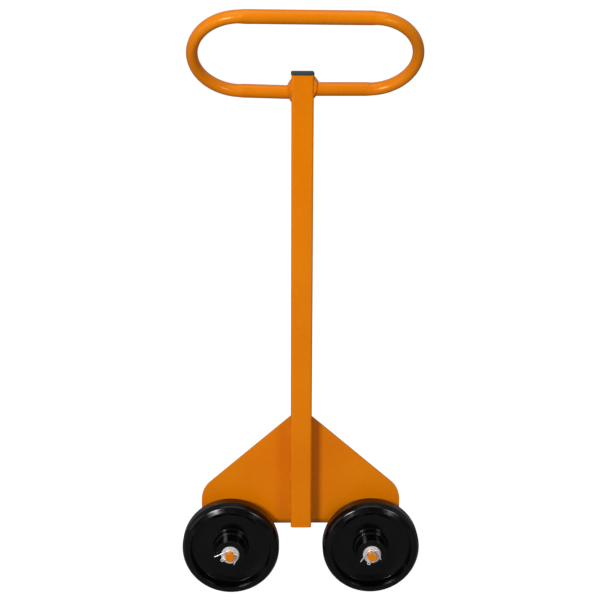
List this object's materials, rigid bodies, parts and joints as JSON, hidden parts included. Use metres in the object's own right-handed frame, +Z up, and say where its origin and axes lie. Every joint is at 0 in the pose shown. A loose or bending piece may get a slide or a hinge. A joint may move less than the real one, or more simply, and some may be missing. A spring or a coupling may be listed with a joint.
{
  "type": "furniture dolly",
  "caption": "Upright furniture dolly: square post with a leaning loop handle, a folded triangular toe plate and a pair of wheels on bearings either side.",
  "frame": {"origin": "centre of the whole object's footprint, on the floor under the wheels", "axes": "+Z up along the post, -Y towards the operator and the side that shows the wheels' long hubs, +Y towards the load on the toe, +X to the right as the operator looks at the post"},
  "size_m": [0.4978, 0.264, 1.2047],
  "materials": {
    "orange_paint": "glossy orange powder coat over welded steel",
    "black_plastic": "moulded black plastic, low sheen",
    "black_wheel": "polished black moulded wheel",
    "zinc_steel": "bright zinc plated steel",
    "bearing_steel": "ground bearing steel"
  },
  "bodies": {
    "frame": {"post_tube": "orange_paint", "post_top_cap": "black_plastic", "handle_loop": "orange_paint", "toe_plate": "orange_paint", "axle_bracket_left": "orange_paint", "axle_left": "orange_paint", "axle_sleeve_left": "orange_paint", "inner_washer_left": "zinc_steel", "outer_washer_left": "zinc_steel", "cotter_pin_left": "zinc_steel", "hub_spacer_left": "zinc_steel", "bearing_inner_ring_front_left": "bearing_steel", "bearing_inner_ring_rear_left": "bearing_steel", "axle_bracket_right": "orange_paint", "axle_right": "orange_paint", "axle_sleeve_right": "orange_paint", "inner_washer_right": "zinc_steel", "outer_washer_right": "zinc_steel", "cotter_pin_right": "zinc_steel", "hub_spacer_right": "zinc_steel", "bearing_inner_ring_front_right": "bearing_steel", "bearing_inner_ring_rear_right": "bearing_steel"},
    "left_wheel": {"bearing_outer_ring_front_left": "bearing_steel", "bearing_balls_front_left": "bearing_steel", "bearing_outer_ring_rear_left": "bearing_steel", "bearing_balls_rear_left": "bearing_steel", "wheel_left": "black_wheel"},
    "right_wheel": {"bearing_outer_ring_front_right": "bearing_steel", "bearing_balls_front_right": "bearing_steel", "bearing_outer_ring_rear_right": "bearing_steel", "bearing_balls_rear_right": "bearing_steel", "wheel_right": "black_wheel"}
  },
  "joints": [
    {"name": "left_wheel_spin", "type": "hinge", "parent": "frame", "child": "left_wheel", "pos_m": [-0.1473, -0.02662, 0.1016], "axis": [0, 1, 0], "continuous": true},
    {"name": "right_wheel_spin", "type": "hinge", "parent": "frame", "child": "right_wheel", "pos_m": [0.1473, -0.02662, 0.1016], "axis": [0, 1, 0], "continuous": true}
  ]
}
